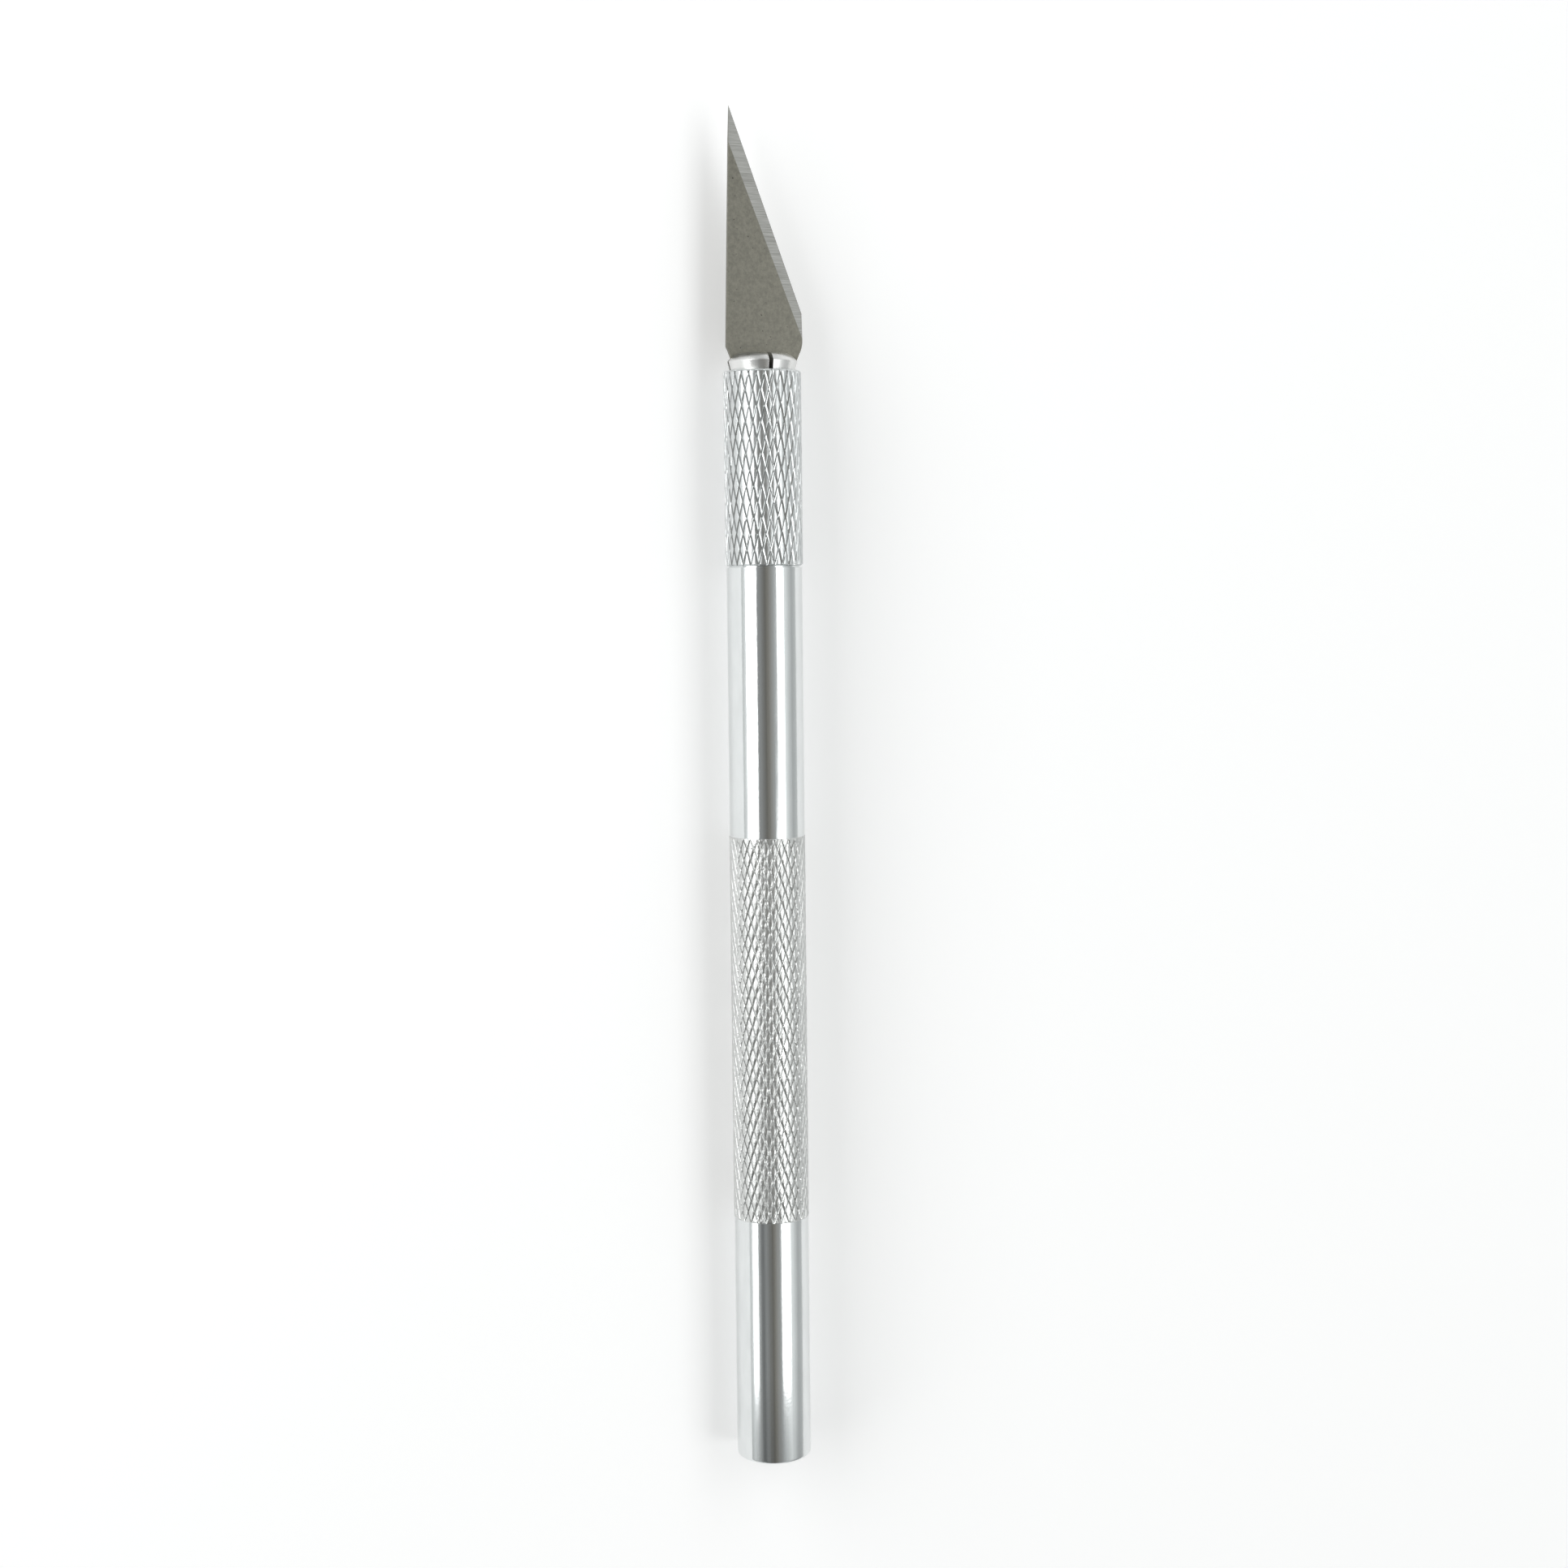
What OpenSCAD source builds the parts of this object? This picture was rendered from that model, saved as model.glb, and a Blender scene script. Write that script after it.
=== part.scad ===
// Hobby craft knife: a turned bar handle, a knurled clamping sleeve, a four-jaw draw-in
// collet and a pointed blade.
//
// Frame: the knife lies along +Y with its point forward, +Z is up and the blade lies flat in
// the XY plane. The origin is the middle of the handle's flat rear end. Millimetres.
//
// How it works: the collet's threaded tail screws into the handle. Its jaws carry a cone that
// the mouth of the sleeve closes when the sleeve, collet and blade are turned together and the
// tail draws the collet back. The sleeve's rear end bears on the handle's shoulder.

/* [Handle] */
// Diameter of the plain bar
body_d = 8.2; // [7.8:0.1:9]
// Length from the rear end to the shoulder that the sleeve bears on
handle_len = 98.7; // [90:0.1:120]
// Plain length behind the knurled grip
rear_len = 27.1; // [10:0.1:35]
// Length of the knurled grip
grip_len = 42.3; // [20:0.1:50]
// How far the knurl's crests stand above the plain bar
grip_rise = 0.05; // [0.02:0.01:0.1]

/* [Sleeve] */
// Diameter over the sleeve's knurl
sleeve_d = 8.4; // [8.3:0.1:9.2]
// Length of the sleeve
sleeve_len = 20.8; // [18:0.1:24]
// Diameter of the sleeve's bore
sleeve_bore_d = 6.5; // [6.5:0.05:6.8]

/* [Collet] */
// Diameter of the collet's head at its widest
head_d = 7.6; // [7.5:0.05:7.7]
// Diameter of the flat front of the nose
nose_d = 4.9; // [3:0.1:6]
// Diameter of the jaws behind the head
shank_d = 6.1; // [6:0.05:6.2]
// Half angle of the clamping cone, in degrees
cone_angle = 15; // [13:0.5:17]
// Width of the slit that crosses the blade's slit
cross_slit = 0.45; // [0.3:0.05:0.6]
// Nominal diameter of the collet's threaded tail
tail_d = 4; // [3:0.5:4]

/* [Blade] */
// Thickness of the blade
blade_t = 0.5; // [0.4:0.05:0.6]
// Length of the blade from its point to the end of its tang
blade_len = 40; // [38:0.5:42]
// Length of blade in front of the nose
blade_reach = 26; // [25:0.1:27]
// Width of the tang
tang_w = 6.04; // [5.8:0.02:6.04]
// Width of the ground bevel, across the cutting edge
bevel_w = 1.2; // [0.8:0.1:1.6]

/* [Hidden] */

turn_fn = 96;        // facets of the turned surfaces
arc_steps = 8;       // straight steps in each drawn arc
edge = 0.2;          // small chamfer on turned edges
overrun = 1;         // how far a cutting shape passes the stock

// Radii
body_r = body_d / 2;
grip_r = body_r + grip_rise;
sleeve_r = sleeve_d / 2;
sleeve_bore_r = sleeve_bore_d / 2;
head_r = head_d / 2;
nose_r = nose_d / 2;
shank_r = shank_d / 2;

// Handle
rear_rim = 0.4;                          // rounding of the rear end's rim
spigot_r = sleeve_bore_r - 0.05;         // running fit in the sleeve's bore
spigot_len = 2.7;
spigot_end = handle_len + spigot_len;
thread_play = 0.05;                      // radial room between the two thread stand-ins
tap_r = tail_d / 2;
tail_r = tap_r - thread_play;

// Collet, from its tail forward to its nose
nose_rise = 1.9;                         // nose in front of the sleeve
nose_chamfer = 0.9;                      // length of the nose's front chamfer
jaw_len = 16.5;
core_len = 2.5;
tail_len = 10;
sleeve_front = handle_len + sleeve_len;
nose_y = sleeve_front + nose_rise;
head_y = nose_y - nose_chamfer;
root_y = nose_y - jaw_len;
core_y = root_y - core_len;
tail_y = core_y - tail_len;
cone_y = head_y - (head_r - shank_r) / tan(cone_angle);
centre_r = 0.8;                          // hole down the middle of the jaws
clamp_play = 0.005;                      // room on each face of the clamped blade
tap_end = tail_y - 3.5;                  // end of the handle's full-diameter hole
drill_tip = tap_r / tan(59);             // cone left by the drill's point

// Sleeve: its mouth is the same cone as the collet's, a hair larger
cone_play = 0.01;
mouth_r = head_r - (head_y - sleeve_front) * tan(cone_angle) + cone_play;
throat_y = sleeve_front - (mouth_r - sleeve_bore_r) / tan(cone_angle);

// Blade outline, as distances behind the point and to each side of the tang's middle
point_y = nose_y + blade_reach;
tang_half = tang_w / 2;
point_x = -3.4;
spine_x = -3.99;
heel_x = 4.47;
heel_run = 21.7;                         // from the point back to the end of the edge
spine_run = 25.3;                        // back to the shoulder on the spine's side
spine_neck_run = 29.5;                   // back to where that side's neck joins the tang
heel_shoulder_run = 24.6;                // back to the rounded shoulder on the edge's side
heel_shoulder_r = 3.06;
heel_shoulder_turn = 28;                 // degrees that the rounded shoulder turns through
heel_neck_run = 31;                      // back to where that side's neck joins the tang
slot_w = 3;
slot_len = 5.3;
slot_run = 31.05;                        // back to the front end of the slot
keen = 0.015;                            // half of the thickness left at the cutting edge
edge_angle = atan((heel_x - point_x) / heel_run);

function arc(centre, r, from, to) =
    [for (i = [0 : arc_steps])
        let (a = from + (to - from) * i / arc_steps)
        centre + r * [cos(a), sin(a)]];

// Radius of an arc that leaves a straight line at a tangent and, after a run along the line,
// stands off it by the given amount
function tangent_arc_r(run, off) = (run * run + off * off) / (2 * off);

// A turned solid on the knife's axis from a half profile of [radius, y] points
module turned(profile) {
    rotate([-90, 0, 0])
        rotate_extrude($fn = turn_fn)
            polygon(profile);
}

// Bar with a plain tail, a knurled grip, a plain front, and a spigot with a tapped hole
module handle() {
    grip_end = rear_len + grip_len;
    color("silver")
        turned(concat(
            [[0, 0]],
            arc([body_r - rear_rim, rear_rim], rear_rim, -90, 0),
            [[body_r, rear_len],
             [grip_r, rear_len + grip_rise],
             [grip_r, grip_end - grip_rise],
             [body_r, grip_end],
             [body_r, handle_len - edge],
             [body_r - edge, handle_len],
             [spigot_r, handle_len],
             [spigot_r, spigot_end - edge],
             [spigot_r - edge, spigot_end],
             [tap_r + edge, spigot_end],
             [tap_r, spigot_end - edge],
             [tap_r, tap_end],
             [0, tap_end - drill_tip]]));
}

// Tube with a tapered mouth that closes the jaws
module clamping_sleeve() {
    color("gainsboro")
        turned([
            [sleeve_bore_r, handle_len],
            [sleeve_r - edge, handle_len],
            [sleeve_r, handle_len + edge],
            [sleeve_r, sleeve_front - edge],
            [sleeve_r - edge, sleeve_front],
            [mouth_r, sleeve_front],
            [sleeve_bore_r, throat_y]]);
}

// Solid rear of the collet: the threaded tail and the ring that carries the four jaws
module collet_core() {
    color("lightgray")
        turned([
            [0, tail_y],
            [tail_r - edge, tail_y],
            [tail_r, tail_y + edge],
            [tail_r, core_y],
            [shank_r - edge, core_y],
            [shank_r, core_y + edge],
            [shank_r, root_y],
            [0, root_y]]);
}

// One jaw: the quarter of the slit front of the collet on the given side of both slits
module jaw(side_x, side_z) {
    flat_half = blade_t / 2 + clamp_play;
    mirror([side_x < 0 ? 1 : 0, 0, 0])
        mirror([0, 0, side_z < 0 ? 1 : 0])
            intersection() {
                turned([
                    [centre_r, root_y],
                    [shank_r, root_y],
                    [shank_r, cone_y],
                    [head_r, head_y],
                    [nose_r, nose_y],
                    [centre_r, nose_y]]);
                translate([cross_slit / 2, root_y - overrun, flat_half])
                    cube([head_r, jaw_len + 2 * overrun, head_r]);
            }
}

module jaw_upper_right() { color("lightgray") jaw(1, 1); }
module jaw_upper_left() { color("lightgray") jaw(-1, 1); }
module jaw_lower_left() { color("lightgray") jaw(-1, -1); }
module jaw_lower_right() { color("lightgray") jaw(1, -1); }

// Flat outline of the blade, from its point down the cutting side, round the tang and back
module blade_outline() {
    shoulder = arc([heel_x - heel_shoulder_r, point_y - heel_shoulder_run],
                   heel_shoulder_r, 0, -heel_shoulder_turn);
    shoulder_end = shoulder[arc_steps];
    heel_off = shoulder_end[0] - tang_half;
    heel_neck_y = point_y - heel_neck_run;
    heel_neck_r = tangent_arc_r(shoulder_end[1] - heel_neck_y, heel_off);
    heel_turn = asin((shoulder_end[1] - heel_neck_y) / heel_neck_r);
    spine_off = -spine_x - tang_half;
    spine_neck_y = point_y - spine_neck_run;
    spine_neck_r = tangent_arc_r(spine_neck_run - spine_run, spine_off);
    spine_turn = asin((spine_neck_run - spine_run) / spine_neck_r);
    polygon(concat(
        [[point_x, point_y], [heel_x, point_y - heel_run]],
        shoulder,
        arc([tang_half + heel_neck_r, heel_neck_y], heel_neck_r, 180 - heel_turn, 180),
        [[tang_half, point_y - blade_len], [-tang_half, point_y - blade_len]],
        arc([-tang_half - spine_neck_r, spine_neck_y], spine_neck_r, 0, spine_turn)));
}

// Slab that is full thickness everywhere except along the edge, where both faces slope to it
module bevel_slab() {
    reach = blade_len;
    translate([point_x, point_y, 0])
        rotate([0, 0, 180 + edge_angle])
            rotate([90, 0, 0])
                linear_extrude(height = 2 * reach, center = true)
                    polygon([
                        [0, -keen], [bevel_w, -blade_t / 2], [reach, -blade_t / 2],
                        [reach, blade_t / 2], [bevel_w, blade_t / 2], [0, keen]]);
}

// The slot with round ends through the tang
module tang_slot() {
    round_r = slot_w / 2;
    front = point_y - slot_run - round_r;
    back = point_y - slot_run - slot_len + round_r;
    depth = blade_t + 2 * overrun;
    for (end = [front, back])
        translate([0, end, 0])
            cylinder(r = round_r, h = depth, center = true, $fn = 48);
    translate([0, (front + back) / 2, 0])
        cube([slot_w, front - back, depth], center = true);
}

// Pointed blade with a straight edge ground from both faces
module blade() {
    color([0.46, 0.46, 0.42])
        difference() {
            intersection() {
                linear_extrude(height = blade_t, center = true)
                    blade_outline();
                bevel_slab();
            }
            tang_slot();
        }
}

handle();
clamping_sleeve();
collet_core();
jaw_upper_right();
jaw_upper_left();
jaw_lower_left();
jaw_lower_right();
blade();
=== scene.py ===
"""Looks of the hobby craft knife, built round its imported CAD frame.

Shapes are drawn in millimetres in the CAD's frame and turned into metres by new_piece().
+Y runs to the blade's point, +Z is up and the cutting edge is on the +X side.
"""

import math

import bmesh
import bpy
import numpy as np
from mathutils import Matrix, Vector
from mathutils.geometry import tessellate_polygon


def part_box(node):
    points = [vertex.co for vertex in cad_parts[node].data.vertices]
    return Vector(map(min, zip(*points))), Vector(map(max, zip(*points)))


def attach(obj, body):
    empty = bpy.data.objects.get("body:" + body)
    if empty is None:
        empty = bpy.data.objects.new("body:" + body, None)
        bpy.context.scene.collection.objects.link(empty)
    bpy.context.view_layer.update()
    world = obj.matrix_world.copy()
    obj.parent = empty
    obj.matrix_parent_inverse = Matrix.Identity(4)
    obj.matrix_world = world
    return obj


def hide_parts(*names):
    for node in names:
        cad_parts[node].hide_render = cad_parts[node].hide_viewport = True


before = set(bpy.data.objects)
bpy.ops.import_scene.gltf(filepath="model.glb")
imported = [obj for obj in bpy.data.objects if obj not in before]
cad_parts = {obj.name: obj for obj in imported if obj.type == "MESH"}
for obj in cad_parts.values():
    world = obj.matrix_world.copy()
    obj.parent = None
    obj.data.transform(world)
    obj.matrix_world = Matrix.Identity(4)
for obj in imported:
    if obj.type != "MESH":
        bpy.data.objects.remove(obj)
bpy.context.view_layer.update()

MM = 0.001
TAU = 2 * math.pi
TINY = 1e-4


def span(node):
    """Lowest and highest corner of a CAD node, in millimetres."""
    low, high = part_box(node)
    return low / MM, high / MM


handle_high = span("handle")[1]
sleeve_low, sleeve_high = span("clamping_sleeve")
core_low, core_high = span("collet_core")
jaw_low, jaw_high = span("jaw_upper_right")
blade_low, blade_high = span("blade")

# Handle. The sizes of all pieces are in millimetres
EDGE = 0.2                      # chamfer on turned edges
CORNER = 0.03                   # barely broken corner
BODY_R = 4.1
GRIP_R = handle_high.x
GRIP_REAR, GRIP_FRONT = 27.1, 69.4
GRIP_RAMP = 0.05                # length over which the bar rises to the grip
GRIP_FADES = (0.15, 0.3, 0.5, 0.75, 1.0)  # mesh lines where the grooves run out
SHADING_GAP = 0.03              # rings this close keep the grip's shading off the plain bar
REAR_MIDDLE, FRONT_MIDDLE = 14, 84
REAR_RIM = 0.4                  # rounding of the rear end's rim
DIMPLE_R, DIMPLE_WALL, DIMPLE_DEPTH = 1.2, 0.12, 0.16
SHOULDER = sleeve_low.y
GAP, GAP_DEPTH = 0.13, 0.3      # dark line between the bar and the sleeve
SPIGOT_R, SPIGOT_END = 3.2, handle_high.y
TAP_R, TAP_END = 2.0, 88.9
DRILL_ANGLE = 59                # half angle of the cone that the drill leaves

# Sleeve
SLEEVE_R, SLEEVE_FRONT = -sleeve_low.x, sleeve_high.y
BORE_R, MOUTH_R, THROAT = 3.25, 3.542, 118.41

# Collet and its thread
CORE_R, TAIL_R = core_high.x, 1.95
CORE_REAR = 102.4
THREAD_LEAD, ROOT_R = 0.7, 1.52
HEAD_R, SHANK_R, NOSE_R, HOLE_R = 3.8, 3.05, 2.45, 0.8
HEAD_Y, CONE_Y = 120.5, 117.7
BLADE_SLIT, CROSS_SLIT = jaw_low.z, jaw_low.x

# Blade, as distances from its middle line and behind its point
KEEN = 0.015                    # half of the thickness left at the cutting edge
POINT_X, HEEL_RUN = -3.4, 21.7
SPINE_X, SPINE_RUN, SPINE_NECK_RUN = -3.99, 25.3, 29.5
SHOULDER_R, SHOULDER_RUN, SHOULDER_TURN = 3.06, 24.6, 28
NECK_RUN, TANG_X = 31.0, 3.02
SLOT_R, SLOT_LEN, SLOT_RUN = 1.5, 5.3, 31.05
BEVEL_AT_POINT, BEVEL_AT_HEEL = 1.5, 0.98


# ---------------------------------------------------------------- mesh helpers

def new_piece(name, bm, body, node, materials, crease=30):
    """A finished mesh piece in metres that rides on a body and stands for a CAD node."""
    bmesh.ops.recalc_face_normals(bm, faces=bm.faces[:])
    bmesh.ops.scale(bm, vec=(MM, MM, MM), verts=bm.verts[:])
    mesh = bpy.data.meshes.new(name)
    bm.to_mesh(mesh)
    bm.free()
    for material in materials:
        mesh.materials.append(material)
    mesh.shade_smooth()
    mesh.set_sharp_from_angle(angle=math.radians(crease))
    piece = bpy.data.objects.new(name, mesh)
    bpy.context.scene.collection.objects.link(piece)
    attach(piece, body)
    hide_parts(node)
    return piece


def ring_at(bm, y):
    """The vertices that lie at y, in order round the axis."""
    ring = [v for v in bm.verts if abs(v.co.y - y) < TINY]
    return sorted(ring, key=lambda v: math.atan2(v.co.x, v.co.z))


def lathe(bm, ring, profile):
    """Carries a ring along a profile of (radius, y) and returns the last ring."""
    for radius, y in profile:
        following = []
        for v in ring:
            grow = radius / math.hypot(v.co.x, v.co.z)
            following.append(bm.verts.new((v.co.x * grow, y, v.co.z * grow)))
        for k in range(len(ring)):
            bm.faces.new((ring[k - 1], ring[k], following[k], following[k - 1]))
        ring = following
    return ring


def cap(bm, ring, y):
    """Closes a ring with a fan to the axis."""
    pole = bm.verts.new((0, y, 0))
    for k in range(len(ring)):
        bm.faces.new((ring[k - 1], ring[k], pole))


def zip_rings(bm, one, two):
    """Joins two rings of different counts with triangles."""
    def turn(ring, k):
        v = ring[k % len(ring)].co
        return math.atan2(v.x, v.z) + TAU * (k // len(ring))

    a = b = 0
    while a < len(one) or b < len(two):
        step_one = b >= len(two) or (a < len(one) and turn(one, a + 1) < turn(two, b + 1))
        here = one[a % len(one)], two[b % len(two)]
        if step_one:
            a += 1
            bm.faces.new((here[0], one[a % len(one)], here[1]))
        else:
            b += 1
            bm.faces.new((here[0], two[b % len(two)], here[1]))


def slice_at(bm, y, clear_below=False, clear_above=False):
    """Adds mesh lines where the plane at y cuts, and can clear what lies on one side."""
    bmesh.ops.bisect_plane(
        bm, geom=bm.verts[:] + bm.edges[:] + bm.faces[:], dist=TINY / 10,
        plane_co=(0, y, 0), plane_no=(0, 1, 0),
        clear_inner=clear_below, clear_outer=clear_above)


def arc(centre, radius, start, end, steps):
    """Points on an arc, angles in degrees."""
    turns = [math.radians(start + (end - start) * k / steps) for k in range(steps + 1)]
    return [(centre[0] + radius * math.cos(t), centre[1] + radius * math.sin(t)) for t in turns]


def round_edges(piece, width, method):
    """Small two-step rounding, width in millimetres, on the edges that the method picks."""
    bevel = piece.modifiers.new("edges", "BEVEL")
    bevel.width = width * MM
    bevel.segments = 2
    bevel.limit_method = method
    return bevel


# ---------------------------------------------------------------- knurl

class Knurl:
    """Crossed V grooves pressed into a bar. Widths are shares of the space between two grooves.

    Grooves of family u lean left going forward, those of family v lean right. Each is given by
    the widths of its two flanks, the one that faces left and the one that faces right. All
    grooves are equally deep, and their rounded edges drop by edge_drop.
    """

    def __init__(self, rear, front, starts, pitch, flanks_u, flanks_v, rounding,
                 depth, edge_drop, wobble, fade, seed):
        self.rear, self.front = rear, front
        self.starts, self.pitch = starts, pitch
        self.flanks_u, self.flanks_v, self.rounding = flanks_u, flanks_v, rounding
        self.depth, self.edge_drop = depth, edge_drop
        self.wobble, self.fade, self.seed = wobble, fade, seed

    def lines(self, flanks, land_steps):
        """Where the mesh has lines across one cell, from one groove's floor to the next."""
        low, high = flanks[0] + self.rounding, 1 - flanks[1] - self.rounding
        land = [low + (high - low) * k / land_steps for k in range(land_steps + 1)]
        return [0, flanks[0], *land, 1 - flanks[1], 1]

    def draw(self, bm, land_steps, cuts):
        """Lattice of diamonds round a bar of radius 1, cut off square at both ends."""
        lines_u = self.lines(self.flanks_u, land_steps)
        lines_v = self.lines(self.flanks_v, land_steps)
        count_u, count_v = len(lines_u) - 1, len(lines_v) - 1
        verts = {}

        def vert(cell_u, p, cell_v, q):
            a, b = cell_u * count_u + p, cell_v * count_v + q
            around = a // (self.starts * count_u)
            key = (a - around * self.starts * count_u, b - around * self.starts * count_v)
            if key not in verts:
                u = key[0] // count_u + lines_u[key[0] % count_u]
                v = key[1] // count_v + lines_v[key[1] % count_v]
                turn = math.pi * (u + v) / self.starts
                y = self.rear + self.pitch * (u - v) / 2
                verts[key] = bm.verts.new((math.sin(turn), y, math.cos(turn)))
            return verts[key]

        # Where two grooves' flanks cross, the square is folded along the line that they share
        crossing_u, crossing_v = {0: 0, count_u - 1: 1}, {0: 0, count_v - 1: 1}
        for row in range(math.ceil(2 * (self.front - self.rear) / self.pitch) + 1):
            for cell in range(self.starts):
                for p in range(count_u):
                    for q in range(count_v):
                        c = [vert(cell, a, cell - row, b)
                             for a, b in ((p, q), (p + 1, q), (p + 1, q + 1), (p, q + 1))]
                        if p not in crossing_u or q not in crossing_v:
                            bm.faces.new(c)
                        elif crossing_u[p] == crossing_v[q]:
                            bm.faces.new(c[:3])
                            bm.faces.new((c[0], c[2], c[3]))
                        else:
                            bm.faces.new((c[0], c[1], c[3]))
                            bm.faces.new(c[1:])
        slice_at(bm, self.rear, clear_below=True)
        slice_at(bm, self.front, clear_above=True)
        for y in cuts:
            slice_at(bm, y)
        loose = [v for v in bm.verts if not v.link_faces]
        bmesh.ops.delete(bm, geom=loose, context="VERTS")

    def press(self, bm, envelope, bar_r):
        """Moves every vertex to the pressed surface, inside the envelope radius at its y."""
        co = np.array([v.co[:] for v in bm.verts])
        turn = np.arctan2(co[:, 0], co[:, 2]) * self.starts / TAU
        along = (co[:, 1] - self.rear) / self.pitch
        u, v = turn + along, turn - along
        edge_drop = self.edge_drop
        drop, land = 0, 1
        for place, (left, right) in ((u, self.flanks_u), (v, self.flanks_v)):
            edges = [0, left, left + self.rounding, 1 - right - self.rounding, 1 - right, 1]
            drops = [self.depth, edge_drop, 0, 0, edge_drop, self.depth]
            drop = np.maximum(drop, np.interp(place % 1, edges, drops))
            land = np.minimum(land, np.interp(place % 1, [0, edges[2], edges[3], 1], [0, 1, 1, 0]))
        if self.fade:  # grooves run out towards both ends
            ends = np.minimum(co[:, 1] - self.rear, self.front - co[:, 1])
            short = 1 - np.clip(ends / self.fade, 0, 1)
            lost = (self.depth - edge_drop) * (1 - np.sqrt(np.maximum(0, 1 - short ** 2)))
            drop = np.maximum(0, drop - lost - edge_drop * short)
        # Every diamond sinks and tips by its own small amount, most in its middle
        rng = np.random.default_rng(self.seed)
        rows = 4 * int((self.front - self.rear) / self.pitch) + 8
        uneven = rng.uniform(-1, 1, (self.starts, rows, 3))
        column = np.floor(u).astype(int) % self.starts
        row = (np.floor(u) - np.floor(v)).astype(int) % rows
        high, tip_u, tip_v = np.moveaxis(uneven[column, row], 1, 0)
        sink = 0.5 + 0.25 * high + 0.5 * tip_u * (u % 1 - 0.5) + 0.5 * tip_v * (v % 1 - 0.5)
        drop += self.wobble * np.clip(sink, 0, 1) * np.clip(land, 0, 1)
        radius = np.minimum(envelope(co[:, 1]), bar_r - drop)
        for vert, r, t in zip(bm.verts, radius, turn * TAU / self.starts):
            vert.co = (r * math.sin(t), vert.co.y, r * math.cos(t))


# ---------------------------------------------------------------- pieces

def build_handle(bar, grip_skin):
    """Bar with a plain tail, a fine diamond grip, a plain front, and a spigot in the sleeve."""
    grip = Knurl(GRIP_REAR, GRIP_FRONT, starts=30, pitch=2.28,
                 flanks_u=(0.11, 0.09), flanks_v=(0.09, 0.11), rounding=0.2,
                 depth=0.125, edge_drop=0.049, wobble=0.04, fade=GRIP_FADES[-1], seed=11)
    ramps = [GRIP_REAR + GRIP_RAMP, GRIP_FRONT - GRIP_RAMP]
    fades = [GRIP_REAR + s for s in GRIP_FADES] + [GRIP_FRONT - s for s in GRIP_FADES]
    bm = bmesh.new()
    grip.draw(bm, 1, ramps + fades)

    def envelope(y):
        return np.interp(y, [GRIP_REAR, ramps[0], ramps[1], GRIP_FRONT],
                         [BODY_R, GRIP_R, GRIP_R, BODY_R])

    grip.press(bm, envelope, GRIP_R)
    rear, front = ring_at(bm, GRIP_REAR), ring_at(bm, GRIP_FRONT)
    rim = arc((BODY_R - REAR_RIM, REAR_RIM), REAR_RIM, 0, -90, 6)
    rear = lathe(bm, rear, [
        (BODY_R, GRIP_REAR - SHADING_GAP), (BODY_R, REAR_MIDDLE), *rim,
        (DIMPLE_R, 0), (DIMPLE_R - EDGE, DIMPLE_WALL)])
    cap(bm, rear, DIMPLE_DEPTH)
    bar_end = SHOULDER - GAP
    front = lathe(bm, front, [
        (BODY_R, GRIP_FRONT + SHADING_GAP), (BODY_R, FRONT_MIDDLE),
        (BODY_R, bar_end - CORNER), (BODY_R - CORNER, bar_end),
        (BODY_R - GAP_DEPTH, bar_end), (BODY_R - GAP_DEPTH, SHOULDER), (SPIGOT_R, SHOULDER),
        (SPIGOT_R, SPIGOT_END - EDGE), (SPIGOT_R - EDGE, SPIGOT_END),
        (TAP_R + EDGE, SPIGOT_END), (TAP_R, SPIGOT_END - EDGE), (TAP_R, TAP_END)])
    cap(bm, front, TAP_END - TAP_R / math.tan(math.radians(DRILL_ANGLE)))
    for face in bm.faces:
        if GRIP_REAR < face.calc_center_median().y < GRIP_FRONT:
            face.material_index = 1
    new_piece("knurled_handle", bm, "handle", "handle", [bar, grip_skin])


def build_sleeve(material):
    """Tube with a long diamond knurl from end to end and a tapered mouth."""
    knurl = Knurl(SHOULDER, SLEEVE_FRONT, starts=30, pitch=3.39,
                  flanks_u=(0.2, 0.07), flanks_v=(0.12, 0.12), rounding=0.05,
                  depth=0.13, edge_drop=0.016, wobble=0.02, fade=0, seed=23)
    steps = [EDGE * k / 3 for k in (1, 2, 3)]
    chamfers = [SHOULDER + step for step in steps] + [SLEEVE_FRONT - step for step in steps]
    bm = bmesh.new()
    knurl.draw(bm, 2, chamfers)

    def envelope(y):
        return np.interp(y, [SHOULDER, SHOULDER + EDGE, SLEEVE_FRONT - EDGE, SLEEVE_FRONT],
                         [SLEEVE_R - EDGE, SLEEVE_R, SLEEVE_R, SLEEVE_R - EDGE])

    knurl.press(bm, envelope, SLEEVE_R)
    rear, front = ring_at(bm, SHOULDER), ring_at(bm, SLEEVE_FRONT)
    lead_in = EDGE / 2
    inner = lathe(bm, rear, [(BORE_R + lead_in, SHOULDER), (BORE_R, SHOULDER + lead_in),
                             (BORE_R, THROAT), (MOUTH_R, SLEEVE_FRONT)])
    zip_rings(bm, inner, front)
    new_piece("knurled_sleeve", bm, "sleeve", "clamping_sleeve", [material])


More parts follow.
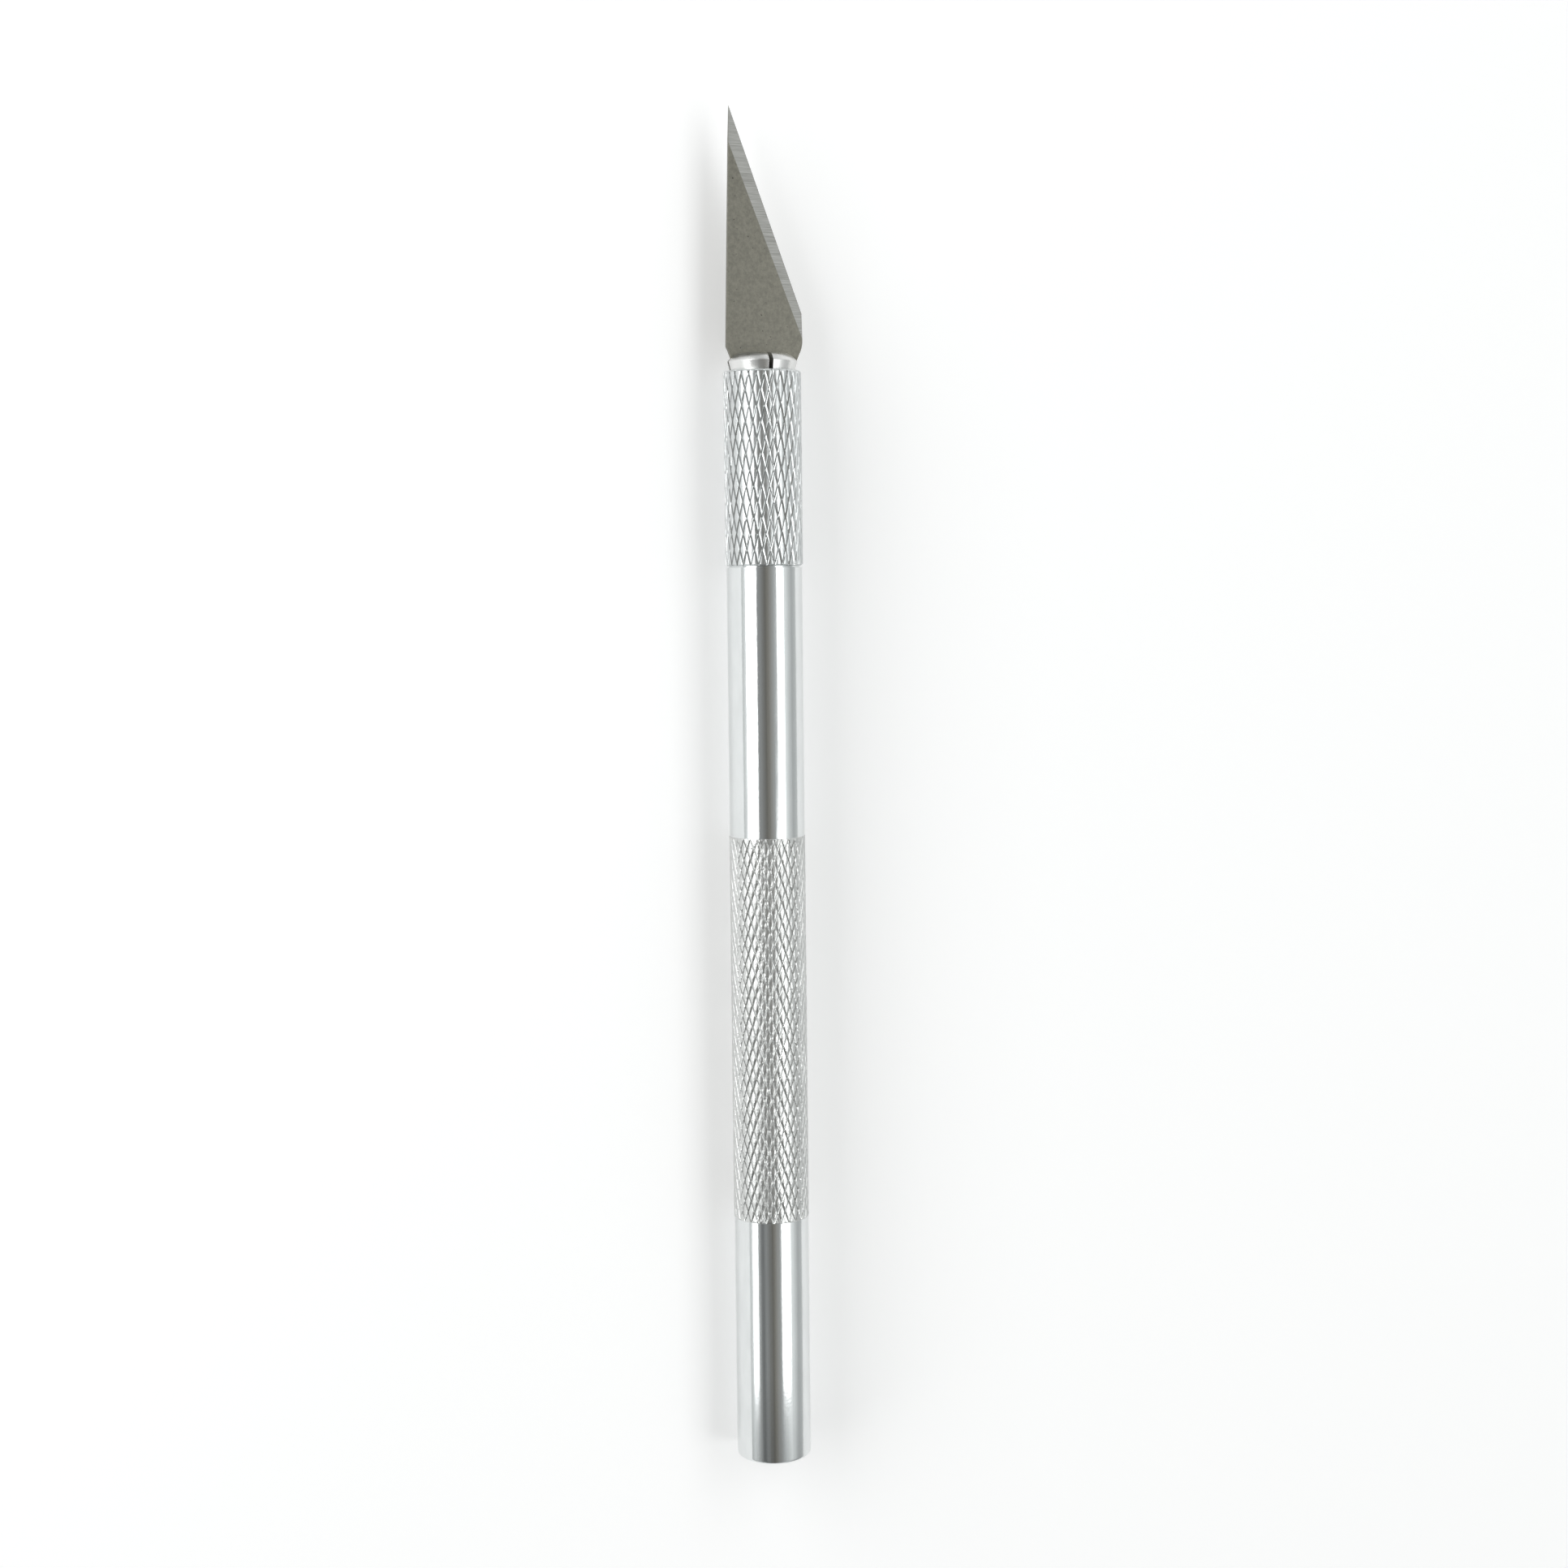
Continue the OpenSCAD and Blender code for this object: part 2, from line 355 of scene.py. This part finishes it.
def build_core(material):
    """Solid rear of the collet: a tail with a rolled thread, and the ring behind the jaws."""
    columns, neck, taper_len, taper_drop, corner = 48, 0.9, 0.35, 0.1, 0.05
    # The thread's profile: share of the lead, and radius
    shape = [(0.0, ROOT_R), (0.12, ROOT_R), (0.46, TAIL_R), (0.62, TAIL_R)]
    thread_end = CORE_REAR - neck
    bm = bmesh.new()
    verts = {}
    first = int(core_low.y / THREAD_LEAD) - 2
    last = int(thread_end / THREAD_LEAD) + 2
    rows = [(THREAD_LEAD * (k + part), r) for k in range(first, last) for part, r in shape]

    def vert(row, column):
        key = (row + len(shape) * (column // columns), column % columns)
        if key not in verts and key[0] < len(rows):
            y, r = rows[key[0]]
            part = key[1] / columns
            t = TAU * part
            place = (r * math.sin(t), y + THREAD_LEAD * part, r * math.cos(t))
            verts[key] = bm.verts.new(place)
        return verts.get(key)

    for row in range(len(rows) - 1):
        for column in range(columns):
            face = [vert(row, column), vert(row, column + 1),
                    vert(row + 1, column + 1), vert(row + 1, column)]
            if all(face):
                bm.faces.new(face)
    slice_at(bm, core_low.y + taper_len)
    slice_at(bm, core_low.y, clear_below=True)
    slice_at(bm, thread_end, clear_above=True)
    # The end of the tail is turned down to a short taper
    for v in bm.verts:
        r = math.hypot(v.co.x, v.co.z)
        most = min(r, ROOT_R - taper_drop + (v.co.y - core_low.y))
        v.co.x, v.co.z = v.co.x * most / r, v.co.z * most / r
    tail, runout = ring_at(bm, core_low.y), ring_at(bm, thread_end)
    cap(bm, tail, core_low.y)
    ring = lathe(bm, runout, [
        (ROOT_R, thread_end + corner), (ROOT_R, CORE_REAR), (CORE_R - EDGE, CORE_REAR),
        (CORE_R, CORE_REAR + EDGE), (CORE_R, core_high.y - corner),
        (CORE_R - corner, core_high.y)])
    cap(bm, ring, core_high.y)
    new_piece("threaded_core", bm, "collet", "collet_core", [material])


def build_jaw(name, side_x, side_z, material):
    """One quarter of the slit collet: shank, clamping cone, nose and half of each slit."""
    steps, corner, sharpest, fullness = 18, 0.035, 28, 0.9
    dome = []
    for t in (0.12, 0.3, 0.5, 0.75, 1):
        rise = math.sin(t * math.pi / 2) ** fullness
        dome.append((HEAD_R + (NOSE_R - HEAD_R) * t, HEAD_Y + (jaw_high.y - HEAD_Y) * rise))
    profile = [(HOLE_R, jaw_low.y), (SHANK_R, jaw_low.y), (SHANK_R, CONE_Y), (HEAD_R, HEAD_Y),
               *dome, (HOLE_R, jaw_high.y)]
    bm = bmesh.new()
    rings = []
    for k in range(steps + 1):
        ring = []
        for r, y in profile:
            start, end = math.asin(BLADE_SLIT / r), math.acos(CROSS_SLIT / r)
            t = start + (end - start) * k / steps
            ring.append(bm.verts.new((side_x * r * math.cos(t), y, side_z * r * math.sin(t))))
        rings.append(ring)
    for one, two in zip(rings, rings[1:]):
        for k in range(len(profile)):
            bm.faces.new((one[k - 1], one[k], two[k], two[k - 1]))
    bm.faces.new(rings[0])
    bm.faces.new(rings[-1])
    piece = new_piece("turned_" + name, bm, name, name, [material])
    bevel = round_edges(piece, corner, "ANGLE")
    bevel.angle_limit = math.radians(sharpest)
    bevel.harden_normals = True


def build_blade(flat, ground):
    """Flat pointed blade with a slotted tang and a tapering bevel ground on both faces."""
    half, slot_steps, shoulder_steps, corner = blade_high.z, 14, 8, 0.03
    point = Vector((POINT_X, blade_high.y))
    heel = Vector((blade_high.x, point.y - HEEL_RUN))
    shoulder = arc((heel.x - SHOULDER_R, point.y - SHOULDER_RUN), SHOULDER_R,
                   0, -SHOULDER_TURN, shoulder_steps)
    neck = arc_to_tang(shoulder[-1], point.y - NECK_RUN)
    spine_neck = arc_to_tang((-SPINE_X, point.y - SPINE_RUN), point.y - SPINE_NECK_RUN)
    outline = [tuple(point), tuple(heel), *shoulder, *neck,
               (TANG_X, blade_low.y), (-TANG_X, blade_low.y),
               *((-x, y) for x, y in reversed(spine_neck))]
    slot_front = point.y - SLOT_RUN - SLOT_R
    slot_back = point.y - SLOT_RUN - SLOT_LEN + SLOT_R
    slot = (arc((0, slot_front), SLOT_R, 0, 180, slot_steps)
            + arc((0, slot_back), SLOT_R, 180, 360, slot_steps))

    # Inner line of the bevel: from the spine near the point to the back of the heel
    along = (heel - point).normalized()
    inward = Vector((along.y, -along.x))
    length = (heel - point).length
    inner_a, inner_b = point + inward * BEVEL_AT_POINT, heel + inward * BEVEL_AT_HEEL

    bm = bmesh.new()
    loops = [[Vector((x, y, 0)) for x, y in loop] for loop in (outline, slot)]
    verts = [bm.verts.new(p) for loop in loops for p in loop]
    for triangle in tessellate_polygon(loops):
        bm.faces.new([verts[k] for k in triangle])
    across = Vector((inner_b.y - inner_a.y, inner_a.x - inner_b.x, 0)).normalized()
    bmesh.ops.bisect_plane(bm, geom=bm.verts[:] + bm.edges[:] + bm.faces[:], dist=TINY,
                           plane_co=(inner_a.x, inner_a.y, 0), plane_no=across)
    inside = [e for e in bm.edges if len(e.link_faces) == 2
              and not all(on_line(v.co, inner_a, inner_b) for v in e.verts)]
    bmesh.ops.dissolve_limit(bm, angle_limit=0.01, verts=[], edges=inside)

    def rise(co):
        """Half thickness at a point of the outline's plane."""
        from_edge = (co.xy - point).dot(inward)
        share = (co.xy - point).dot(along) / length
        width = BEVEL_AT_POINT + (BEVEL_AT_HEEL - BEVEL_AT_POINT) * share
        return KEEN + (half - KEEN) * min(1, max(0, from_edge / width))

    top = {v: bm.verts.new((v.co.x, v.co.y, rise(v.co))) for v in list(bm.verts)}
    base = {v: bm.verts.new((v.co.x, v.co.y, -rise(v.co))) for v in top}
    faces, rims = bm.faces[:], [e for e in bm.edges if len(e.link_faces) == 1]
    for face in faces:
        middle = face.calc_center_median()
        on_bevel = (middle.xy - inner_a).dot(across.xy) * (point - inner_a).dot(across.xy) > 0
        for side in (top, base):
            skin = bm.faces.new([side[v] for v in face.verts])
            skin.material_index = int(on_bevel)
    for e in rims:
        a, b = e.verts
        bm.faces.new((top[a], top[b], base[b], base[a]))
    bmesh.ops.delete(bm, geom=list(top), context="VERTS")
    weight = bm.edges.layers.float.new("bevel_weight_edge")
    for e in bm.edges:
        a, b = e.verts
        thick = all(abs(abs(v.co.z) - half) < TINY for v in e.verts)
        level = abs(a.co.z - b.co.z) < TINY
        if thick and level and e.is_manifold and e.calc_face_angle(0) > 1:
            e[weight] = 1
    piece = new_piece("ground_blade", bm, "blade", "blade",
                      [flat, ground], crease=6)
    round_edges(piece, corner, "WEIGHT")


def on_line(co, a, b):
    """Whether a point of the outline's plane lies on the line through a and b."""
    along = (b - a).normalized()
    away = co.xy - a
    return abs(away.x * along.y - away.y * along.x) < 10 * TINY


def arc_to_tang(start, tang_y, steps=8):
    """Concave neck on the +X side, tangent to the tang's side."""
    off, run = start[0] - TANG_X, start[1] - tang_y
    radius = (run * run + off * off) / (2 * off)
    turn = math.degrees(math.asin(run / radius))
    return arc((TANG_X + radius, tang_y), radius, 180 - turn, 180, steps)


# ---------------------------------------------------------------- materials

def principled(name, metallic=1.0):
    """A new material with its node tree's nodes and links, and its shader node."""
    material = bpy.data.materials.new(name)
    material.use_nodes = True
    nodes, links = material.node_tree.nodes, material.node_tree.links
    shader = nodes["Principled BSDF"]
    shader.inputs["Metallic"].default_value = metallic
    return material, nodes, links, shader


def stretched(nodes, links, scale):
    """Object coordinates in millimetres times scale."""
    coords = nodes.new("ShaderNodeTexCoord")
    mapping = nodes.new("ShaderNodeMapping")
    mapping.inputs["Scale"].default_value = [s / MM for s in scale]
    links.new(coords.outputs["Object"], mapping.inputs["Vector"])
    return mapping.outputs["Vector"]


def noise(nodes, links, scale, detail=2.0, roughness=0.5):
    """Noise whose grains are about 1 / scale millimetres in each direction."""
    texture = nodes.new("ShaderNodeTexNoise")
    texture.inputs["Scale"].default_value = 1.0
    texture.inputs["Detail"].default_value = detail
    texture.inputs["Roughness"].default_value = roughness
    links.new(stretched(nodes, links, scale), texture.inputs["Vector"])
    return texture.outputs["Fac"]


def remap(nodes, links, value, low, high, out_low, out_high):
    """Carries low..high to out_low..out_high, clamped."""
    node = nodes.new("ShaderNodeMapRange")
    ends = {"From Min": low, "From Max": high, "To Min": out_low, "To Max": out_high}
    for key, number in ends.items():
        node.inputs[key].default_value = number
    links.new(value, node.inputs["Value"])
    return node.outputs["Result"]


def blend_colors(nodes, links, factor, one, two):
    """Mix of a colour or a colour socket with a second colour."""
    node = nodes.new("ShaderNodeMix")
    node.data_type = "RGBA"
    links.new(factor, node.inputs["Factor"])
    for socket, value in (("A", one), ("B", two)):
        target = [s for s in node.inputs if s.name == socket and s.type == "RGBA"][0]
        if hasattr(value, "links"):
            links.new(value, target)
        else:
            target.default_value = (*value, 1)
    return [s for s in node.outputs if s.type == "RGBA"][0]


def bump(nodes, links, height, distance_mm, normal=None):
    node = nodes.new("ShaderNodeBump")
    node.inputs["Strength"].default_value = 1.0
    node.inputs["Distance"].default_value = distance_mm * MM
    links.new(height, node.inputs["Height"])
    if normal is not None:
        links.new(normal, node.inputs["Normal"])
    return node.outputs["Normal"]


def aluminium(name, bright, dull, rough, grain_mm, ring_mm, grain_scale):
    """Turned aluminium: fine grain, faint turned rings, cloudy colour and roughness."""
    material, nodes, links, shader = principled(name)
    grain = noise(nodes, links, grain_scale, 3)
    rings = noise(nodes, links, (0.15, 14, 0.15), 2)
    clouds = noise(nodes, links, (0.8, 0.25, 0.8), 3)
    cloudy = remap(nodes, links, clouds, 0.35, 0.65, 0, 1)
    links.new(blend_colors(nodes, links, cloudy, bright, dull), shader.inputs["Base Color"])
    roughness = remap(nodes, links, clouds, 0.3, 0.7, rough * 0.8, rough * 1.25)
    links.new(roughness, shader.inputs["Roughness"])
    normal = bump(nodes, links, grain, grain_mm)
    links.new(bump(nodes, links, rings, ring_mm, normal=normal), shader.inputs["Normal"])
    return material


def blade_flat():
    """Dull rolled steel: olive grey, mottled, with tiny pits."""
    material, nodes, links, shader = principled("blade_flat")
    mottle = noise(nodes, links, (2.6, 2.2, 2.6), 5, 0.7)
    grain = noise(nodes, links, (14, 5, 14), 2)
    pits = noise(nodes, links, (2.7, 2.3, 2.7), 1)
    light, dark, pit = (0.262, 0.255, 0.215), (0.195, 0.19, 0.162), (0.06, 0.058, 0.05)
    skin = blend_colors(nodes, links, remap(nodes, links, mottle, 0.35, 0.65, 0, 1), light, dark)
    pitted = blend_colors(nodes, links, remap(nodes, links, pits, 0.73, 0.78, 0, 0.8), skin, pit)
    links.new(pitted, shader.inputs["Base Color"])
    links.new(remap(nodes, links, grain, 0.3, 0.7, 0.36, 0.46), shader.inputs["Roughness"])
    links.new(bump(nodes, links, grain, 0.004), shader.inputs["Normal"])
    return material


def blade_ground():
    """Ground bevel: brighter, with fine lines square to the cutting edge."""
    material, nodes, links, shader = principled("blade_ground")
    lines = noise(nodes, links, (0.3, 9, 0.3), 3, 0.6)
    light, dark = (0.34, 0.34, 0.325), (0.25, 0.25, 0.235)
    streaks = remap(nodes, links, lines, 0.35, 0.65, 0, 1)
    links.new(blend_colors(nodes, links, streaks, light, dark), shader.inputs["Base Color"])
    links.new(remap(nodes, links, lines, 0.3, 0.7, 0.4, 0.5), shader.inputs["Roughness"])
    links.new(bump(nodes, links, lines, 0.004), shader.inputs["Normal"])
    return material


# ---------------------------------------------------------------- stage, light, camera

def build_stage():
    """Large plain pale floor that the knife lies on, and that glows a little."""
    size, middle_y, paper, glow = 2.0, 0.07, 0.9, 0.24
    bm = bmesh.new()
    bmesh.ops.create_grid(bm, x_segments=2, y_segments=2, size=size)
    mesh = bpy.data.meshes.new("floor")
    bm.to_mesh(mesh)
    bm.free()
    floor = bpy.data.objects.new("floor", mesh)
    floor.location = (0, middle_y, -SLEEVE_R * MM)
    bpy.context.scene.collection.objects.link(floor)
    material, _, _, shader = principled("floor_paper", metallic=0.0)
    shader.inputs["Base Color"].default_value = (paper, paper, paper, 1)
    shader.inputs["Roughness"].default_value = 0.9
    shader.inputs["Specular IOR Level"].default_value = 0.1
    shader.inputs["Emission Color"].default_value = (1, 1, 1, 1)
    shader.inputs["Emission Strength"].default_value = glow
    mesh.materials.append(material)


# Each panel's name, its first and last angle about the knife's axis in degrees, its rear and
# front end in metres, and its radiance
SOFTBOXES = (
    ("softbox_left", -76, -60, -0.23, 0.9, 2.3),
    ("softbox_left_front", -60, -41, -0.02, 0.9, 2.3),
    ("softbox_right", 20, 43, 0.0, 0.9, 1.25),
    ("softbox_right_rear", 15, 43, -0.23, 0.0, 2.3),
)


def softbox(name, low, high, rear, front, radiance):
    """Panel of light that faces the knife's axis."""
    distance, length = 0.6, front - rear
    width = 2 * distance * math.tan(math.radians(high - low) / 2)
    light = bpy.data.lights.new(name, "AREA")
    light.shape = "RECTANGLE"
    light.size, light.size_y = width, length
    light.energy = radiance * math.pi * width * length
    lamp = bpy.data.objects.new(name, light)
    turn = math.radians(low + high) / 2
    middle = (distance * math.sin(turn), (rear + front) / 2, distance * math.cos(turn))
    lamp.matrix_world = Matrix.Translation(middle) @ Matrix.Rotation(turn, 4, "Y")
    bpy.context.scene.collection.objects.link(lamp)


def build_world():
    """Studio dome. Its light depends on the angle about the knife's axis and fades behind it."""
    warm, cool = (1, 0.965, 0.87), (0.97, 1, 1)
    walls = (  # angle in degrees, grey and tint
        (-90, 0.58, cool), (-78, 0.85, cool), (-44, 0.16, cool), (-34, 0.30, cool),
        (-14, 0.15, warm), (-6, 0.25, warm), (12, 0.42, cool), (45, 0.95, cool),
        (72, 0.48, cool), (90, 0.58, cool))
    world = bpy.data.worlds.new("studio")
    bpy.context.scene.world = world
    world.use_nodes = True
    nodes, links = world.node_tree.nodes, world.node_tree.links
    coords = nodes.new("ShaderNodeTexCoord")
    parts = nodes.new("ShaderNodeSeparateXYZ")
    links.new(coords.outputs["Generated"], parts.inputs["Vector"])
    turn = nodes.new("ShaderNodeMath")
    turn.operation = "ARCTAN2"
    links.new(parts.outputs["X"], turn.inputs[0])
    links.new(parts.outputs["Z"], turn.inputs[1])
    place = remap(nodes, links, turn.outputs["Value"], -math.pi / 2, math.pi / 2, 0, 1)
    ramp = nodes.new("ShaderNodeValToRGB")
    stops = ramp.color_ramp.elements
    while len(stops) < len(walls):
        stops.new(0.5)
    for stop, (angle, grey, tint) in zip(stops, walls):
        stop.position = (angle + 90) / 180
        stop.color = (*(grey * t for t in tint), 1)
    links.new(place, ramp.inputs["Fac"])
    fade = remap(nodes, links, parts.outputs["Y"], -0.5, -0.36, 0.7, 1)
    links.new(ramp.outputs["Color"], nodes["Background"].inputs["Color"])
    links.new(fade, nodes["Background"].inputs["Strength"])


def build_camera():
    """View from above, a little ahead of the middle and a little to the spine's side."""
    roll, tilt, lean = math.radians(15.8), math.radians(5.2), math.radians(0.61)
    distance, beside, lens, sensor = 0.2656, 0.001883, 55.9006, 36
    target = Vector((0, 0.075, 0))
    axis = Vector((0, 1, 0))
    overhead = Vector((-math.sin(roll), 0, math.cos(roll)))
    right = Vector((math.cos(roll), 0, math.sin(roll)))
    up = math.cos(tilt) * axis - math.sin(tilt) * overhead
    forward = -math.sin(tilt) * axis - math.cos(tilt) * overhead
    across = math.cos(lean) * right - math.sin(lean) * up
    upward = math.sin(lean) * right + math.cos(lean) * up
    data = bpy.data.cameras.new("camera")
    data.sensor_width = sensor
    data.lens = lens
    data.clip_start = 0.01
    camera = bpy.data.objects.new("camera", data)
    turn = Matrix((across, upward, -forward)).transposed().to_4x4()
    place = target + across * beside - forward * distance
    camera.matrix_world = Matrix.Translation(place) @ turn
    bpy.context.scene.collection.objects.link(camera)
    bpy.context.scene.camera = camera


build_camera()
build_stage()
build_world()
for box in SOFTBOXES:
    softbox(*box)
bpy.context.scene.view_settings.view_transform = "Standard"

bar_metal = aluminium("polished_bar", bright=(0.78, 0.80, 0.80), dull=(0.74, 0.76, 0.76),
                      rough=0.13, grain_mm=0.003, ring_mm=0.0006, grain_scale=(4, 3, 4))
grip_metal = aluminium("rough_grip", bright=(0.70, 0.71, 0.70), dull=(0.60, 0.61, 0.60),
                       rough=0.3, grain_mm=0.05, ring_mm=0.0006, grain_scale=(4.5, 3.5, 4.5))
sleeve_metal = aluminium("satin_sleeve", bright=(0.70, 0.72, 0.72), dull=(0.62, 0.64, 0.64),
                         rough=0.29, grain_mm=0.009, ring_mm=0.0006, grain_scale=(5, 3.5, 5))
collet_metal = aluminium("turned_collet", bright=(0.80, 0.80, 0.79), dull=(0.76, 0.76, 0.75),
                         rough=0.3, grain_mm=0.004, ring_mm=0.006, grain_scale=(9, 6, 9))
build_handle(bar_metal, grip_metal)
build_sleeve(sleeve_metal)
build_core(collet_metal)
for jaw_name, jaw_x, jaw_z in (("jaw_upper_right", 1, 1), ("jaw_upper_left", -1, 1),
                               ("jaw_lower_left", -1, -1), ("jaw_lower_right", 1, -1)):
    build_jaw(jaw_name, jaw_x, jaw_z, collet_metal)
build_blade(blade_flat(), blade_ground())
